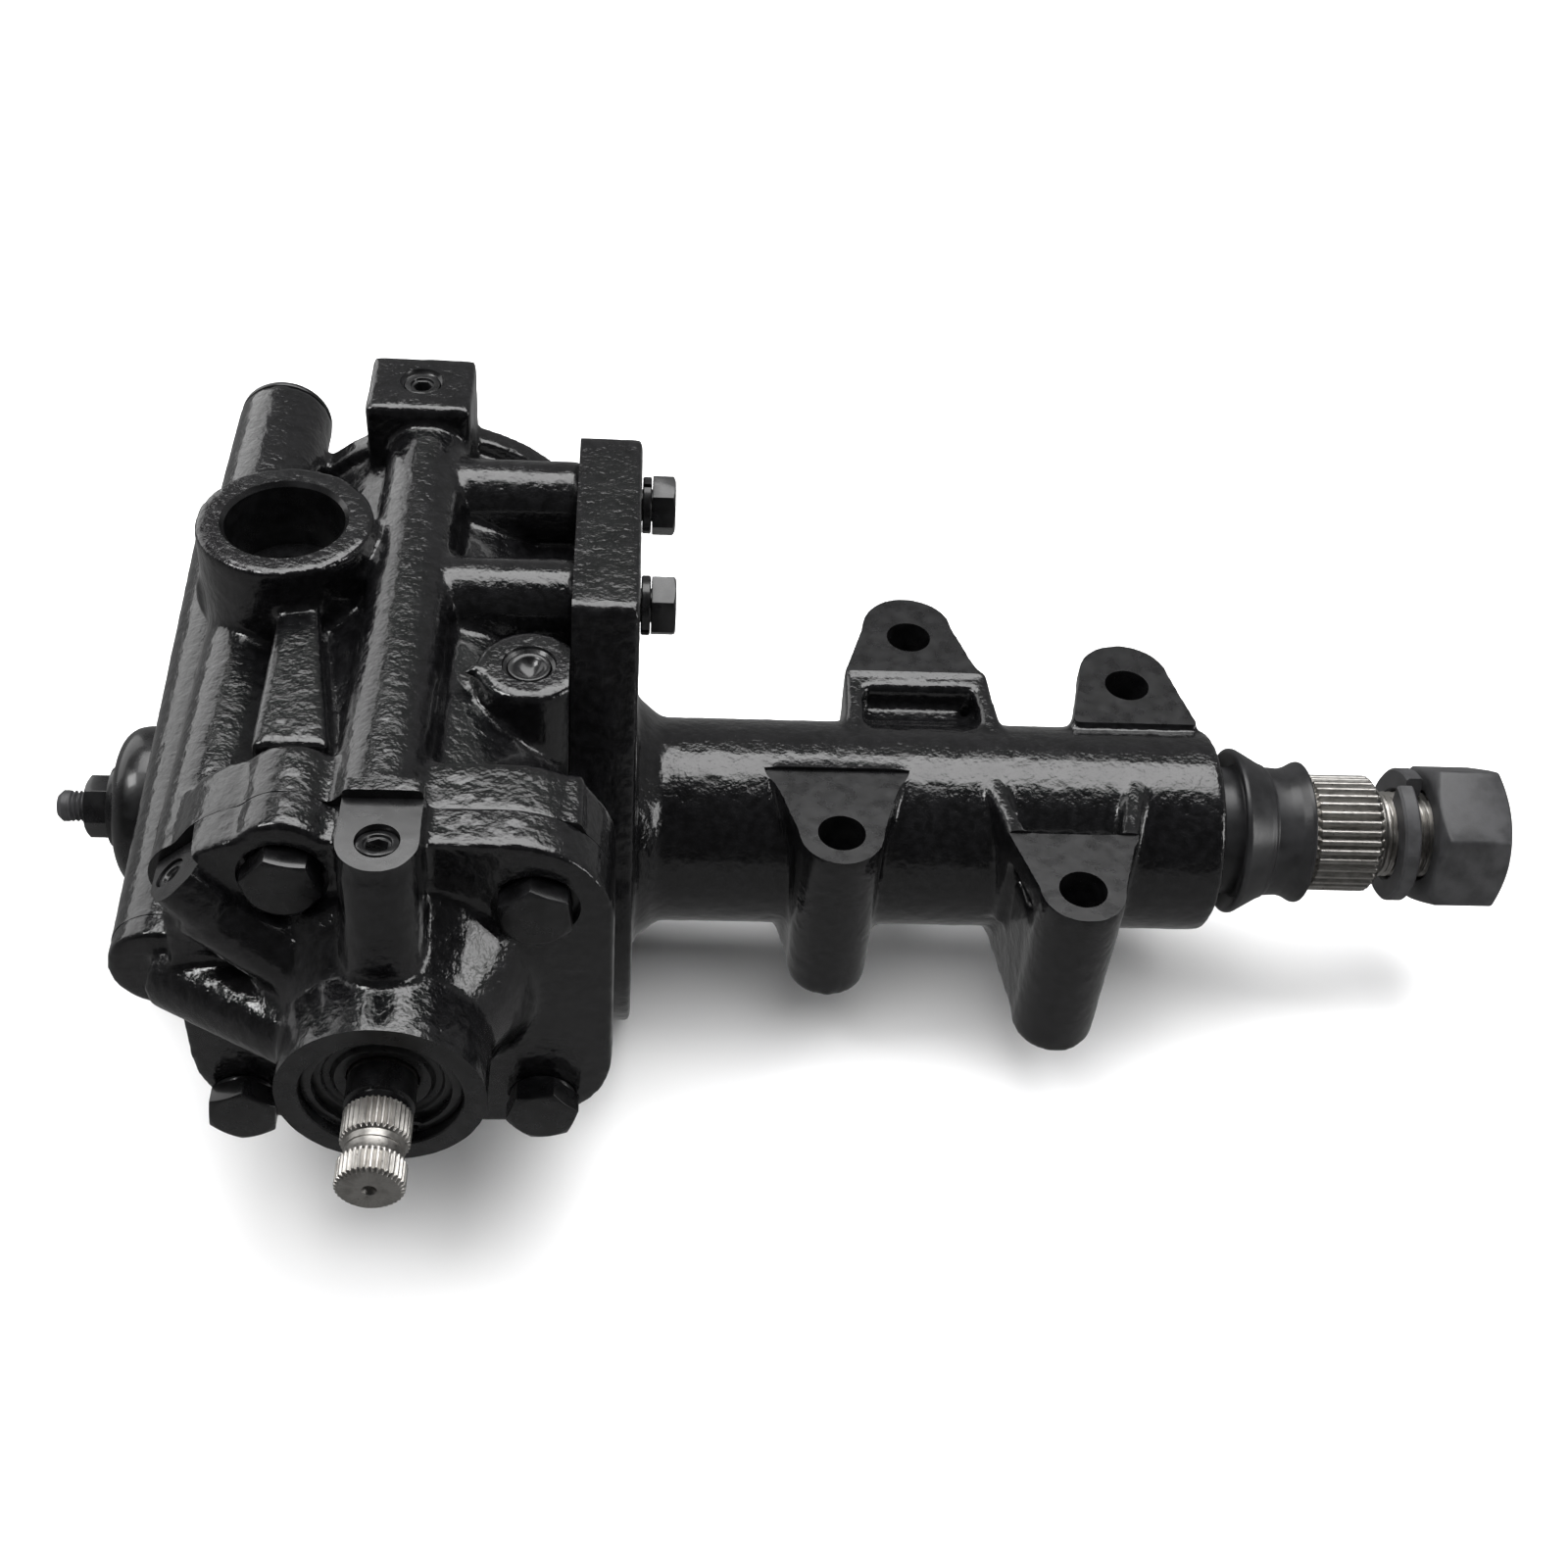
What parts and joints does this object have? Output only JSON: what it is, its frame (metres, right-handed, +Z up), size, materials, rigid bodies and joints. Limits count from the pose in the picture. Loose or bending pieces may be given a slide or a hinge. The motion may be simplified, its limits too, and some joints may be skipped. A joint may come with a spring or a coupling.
{
  "type": "power steering gearbox",
  "caption": "Recirculating-ball worm steering gearbox with a long sector-shaft tube, chassis lugs, a splined input shaft and a splined output with nut.",
  "frame": {"origin": "centre of the bounding box on the plane that the gearbox stands on", "axes": "+X along the sector shaft towards the Pitman nut, +Y along the worm away from the input shaft's end, +Z up, the way the lug faces point"},
  "size_m": [0.458, 0.2706, 0.17],
  "materials": {
    "black_paint": "gloss black paint over cast iron, slightly rough",
    "bare_steel": "machined steel",
    "dark_steel": "satin black oxide",
    "bearing_steel": "ground steel",
    "rubber": "satin black rubber",
    "bronze": "machined bronze"
  },
  "bodies": {
    "housing": {"gear_housing": "black_paint", "valve_housing": "black_paint", "sector_housing": "black_paint", "side_cover": "black_paint", "adjuster_screw": "dark_steel", "adjuster_lock_nut": "dark_steel", "rear_plug": "black_paint", "rear_retaining_ring": "dark_steel", "top_block_plug": "dark_steel", "front_tab_plug": "dark_steel", "side_tab_plug": "dark_steel", "check_valve_plug": "dark_steel", "port_seat": "dark_steel", "relief_valve_cap": "black_paint", "valve_housing_bolt_1": "black_paint", "valve_housing_bolt_2": "black_paint", "valve_housing_bolt_3": "black_paint", "valve_housing_bolt_4": "black_paint", "sector_housing_bolt_1": "black_paint", "sector_housing_bolt_2": "black_paint", "sector_housing_bolt_3": "black_paint", "sector_housing_bolt_4": "black_paint", "sector_housing_bolt_5": "black_paint", "spring_washer_1": "black_paint", "spring_washer_2": "black_paint", "spring_washer_3": "black_paint", "spring_washer_4": "black_paint", "spring_washer_5": "black_paint", "input_bearing": "bearing_steel", "input_oil_seal": "rubber", "input_snap_ring": "dark_steel", "worm_bearing_outer": "bearing_steel", "bearing_retainer": "dark_steel", "sector_bearing_inner": "bearing_steel", "sector_bearing_outer": "bearing_steel", "sector_oil_seal": "rubber"},
    "sector": {"sector_shaft": "bare_steel", "dust_boot": "rubber", "pitman_spring_washer": "dark_steel", "pitman_nut": "dark_steel"},
    "rack_nut": {"ball_nut": "dark_steel", "piston_ring": "bronze", "ball_return_guide": "bearing_steel", "return_guide_clamp": "dark_steel", "ball_1": "bearing_steel", "ball_2": "bearing_steel", "ball_3": "bearing_steel", "ball_4": "bearing_steel", "ball_5": "bearing_steel", "ball_6": "bearing_steel", "ball_7": "bearing_steel"},
    "worm": {"worm_shaft": "bearing_steel", "valve_sleeve": "bearing_steel", "worm_bearing_inner": "bearing_steel"},
    "input": {"input_shaft": "bare_steel", "torsion_bar": "bearing_steel", "torsion_bar_pin": "bearing_steel"}
  },
  "joints": [
    {"name": "sector_swing", "type": "hinge", "parent": "housing", "child": "sector", "pos_m": [-0.113, 0.03675, 0.06], "axis": [1, 0, 0], "range_deg": [-40, 40]},
    {"name": "nut_slide", "type": "slide", "parent": "housing", "child": "rack_nut", "axis": [0, 1, 0], "range_m": [-0.0155, 0.0155]},
    {"name": "worm_spin", "type": "hinge", "parent": "housing", "child": "worm", "pos_m": [-0.113, 0.03675, 0.104], "axis": [0, 1, 0], "range_deg": [-645, 645]},
    {"name": "input_twist", "type": "hinge", "parent": "worm", "child": "input", "pos_m": [-0.113, -0.08325, 0.104], "axis": [0, 1, 0], "range_deg": [-4, 4], "stiffness_Nm_per_rad": 85}
  ],
  "couplings": [
    {"joint": "nut_slide", "follows": "sector_swing", "m_per_rad": -0.022},
    {"joint": "worm_spin", "follows": "sector_swing", "ratio": 16.073}
  ]
}
